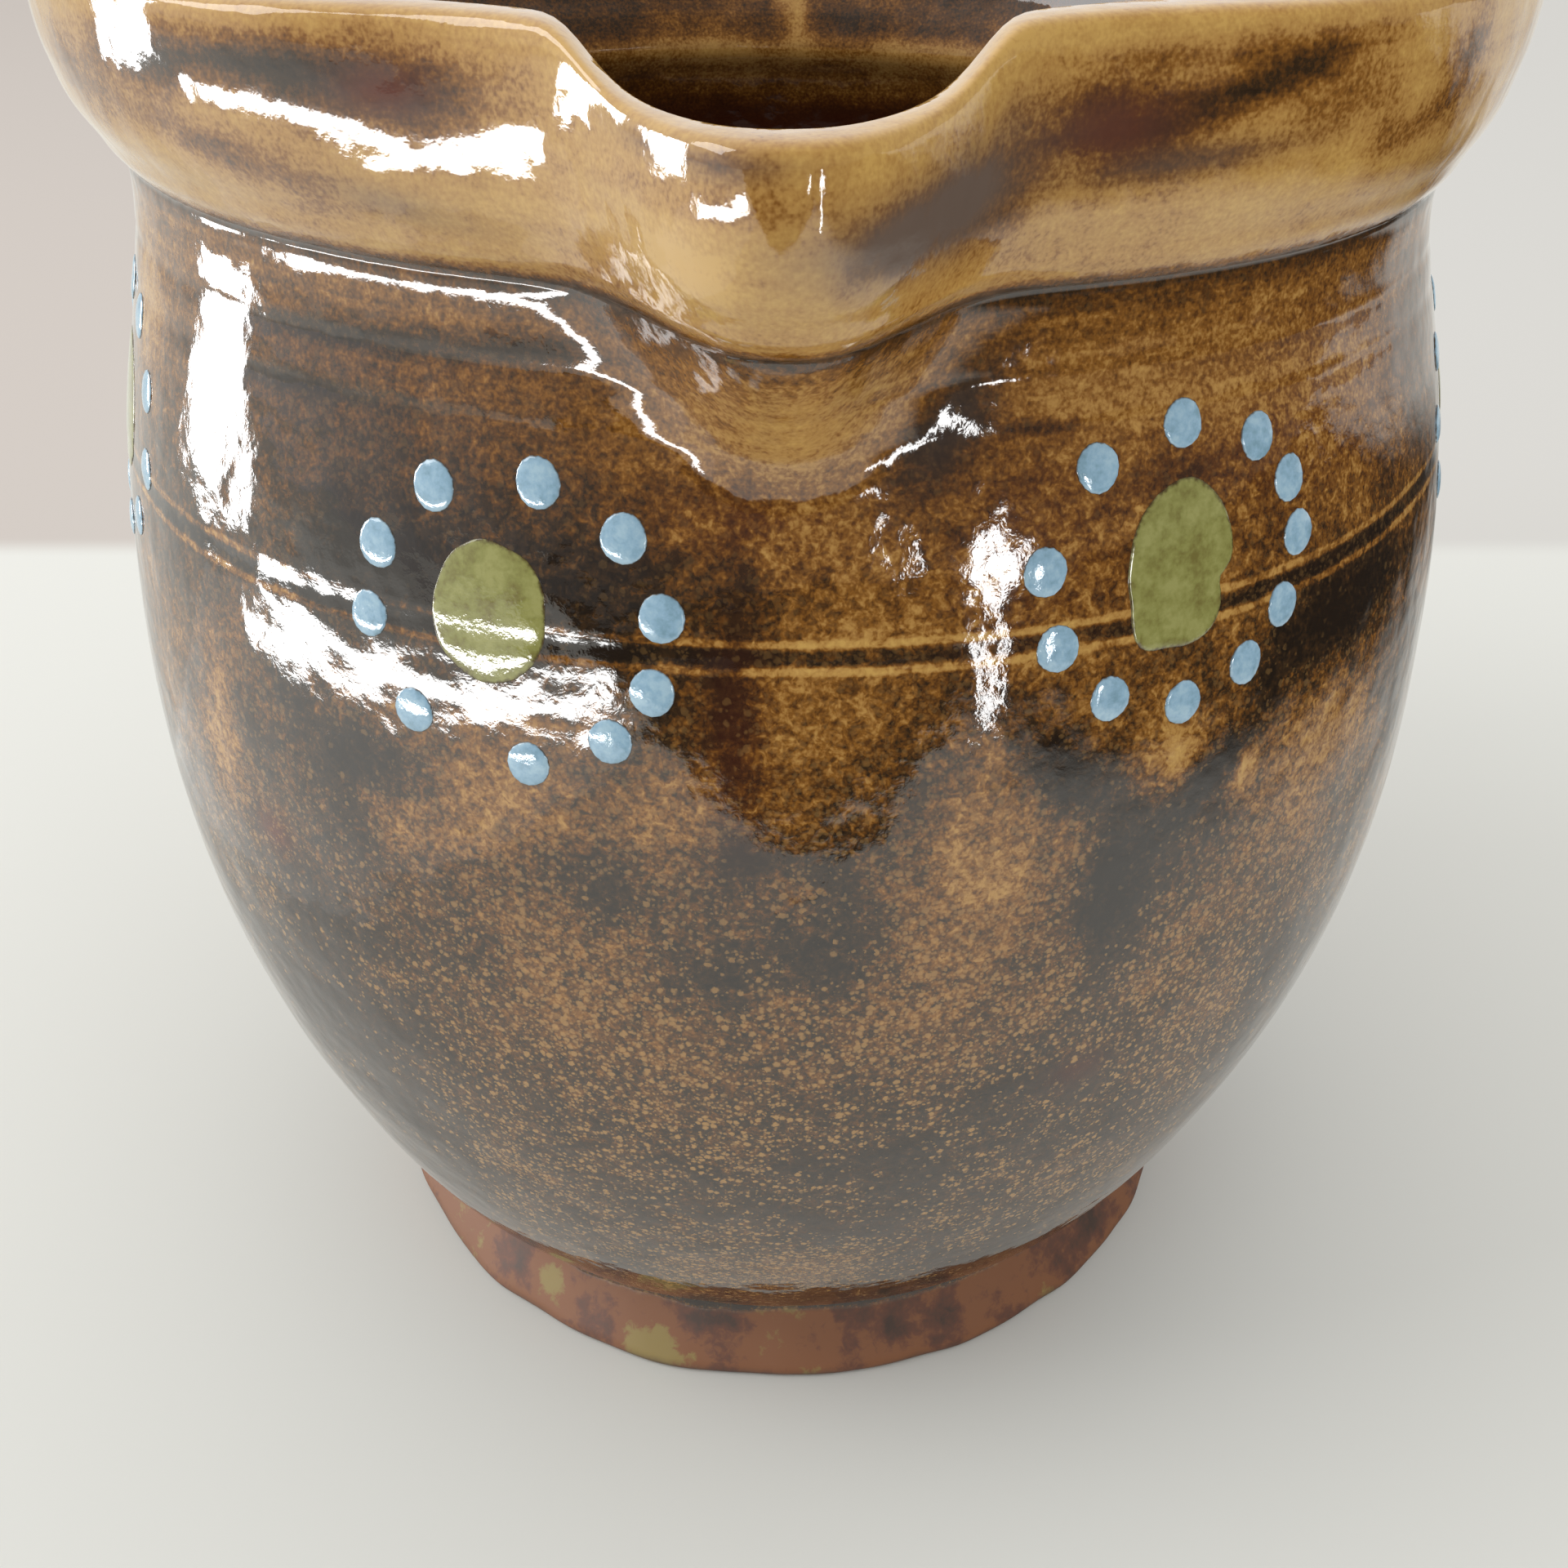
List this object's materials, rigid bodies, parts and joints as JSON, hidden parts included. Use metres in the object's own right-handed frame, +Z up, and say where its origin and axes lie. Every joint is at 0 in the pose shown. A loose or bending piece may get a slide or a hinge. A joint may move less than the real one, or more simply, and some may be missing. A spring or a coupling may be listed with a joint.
{
  "type": "pitcher",
  "caption": "Footed, bellied earthenware pitcher with a rolled collar, a pulled spout, a strap handle and raised slip-dot rosettes round the shoulder.",
  "frame": {"origin": "centre of the flat base, where the pitcher stands", "axes": "+Z up along the thrown pot's axis, -Y towards the spout, +Y towards the handle"},
  "size_m": [0.1438, 0.1939, 0.15],
  "materials": {
    "brown_glaze": "gloss",
    "green_slip": "gloss",
    "blue_slip": "gloss"
  },
  "bodies": {
    "root": {"vessel": "brown_glaze", "handle": "brown_glaze", "green_spot_1": "green_slip", "green_spot_2": "green_slip", "green_spot_3": "green_slip", "green_spot_4": "green_slip", "green_spot_5": "green_slip", "green_spot_6": "green_slip", "blue_dot_1_1": "blue_slip", "blue_dot_1_2": "blue_slip", "blue_dot_1_3": "blue_slip", "blue_dot_1_4": "blue_slip", "blue_dot_1_5": "blue_slip", "blue_dot_1_6": "blue_slip", "blue_dot_1_7": "blue_slip", "blue_dot_1_8": "blue_slip", "blue_dot_1_9": "blue_slip", "blue_dot_1_10": "blue_slip", "blue_dot_1_11": "blue_slip", "blue_dot_2_1": "blue_slip", "blue_dot_2_2": "blue_slip", "blue_dot_2_3": "blue_slip", "blue_dot_2_4": "blue_slip", "blue_dot_2_5": "blue_slip", "blue_dot_2_6": "blue_slip", "blue_dot_2_7": "blue_slip", "blue_dot_2_8": "blue_slip", "blue_dot_2_9": "blue_slip", "blue_dot_2_10": "blue_slip", "blue_dot_3_1": "blue_slip", "blue_dot_3_2": "blue_slip", "blue_dot_3_3": "blue_slip", "blue_dot_3_4": "blue_slip", "blue_dot_3_5": "blue_slip", "blue_dot_3_6": "blue_slip", "blue_dot_3_7": "blue_slip", "blue_dot_3_8": "blue_slip", "blue_dot_3_9": "blue_slip", "blue_dot_3_10": "blue_slip", "blue_dot_4_1": "blue_slip", "blue_dot_4_2": "blue_slip", "blue_dot_4_3": "blue_slip", "blue_dot_4_4": "blue_slip", "blue_dot_4_5": "blue_slip", "blue_dot_4_6": "blue_slip", "blue_dot_4_7": "blue_slip", "blue_dot_4_8": "blue_slip", "blue_dot_4_9": "blue_slip", "blue_dot_4_10": "blue_slip", "blue_dot_5_1": "blue_slip", "blue_dot_5_2": "blue_slip", "blue_dot_5_3": "blue_slip", "blue_dot_5_4": "blue_slip", "blue_dot_5_5": "blue_slip", "blue_dot_5_6": "blue_slip", "blue_dot_5_7": "blue_slip", "blue_dot_5_8": "blue_slip", "blue_dot_5_9": "blue_slip", "blue_dot_5_10": "blue_slip"}
  },
  "joints": []
}
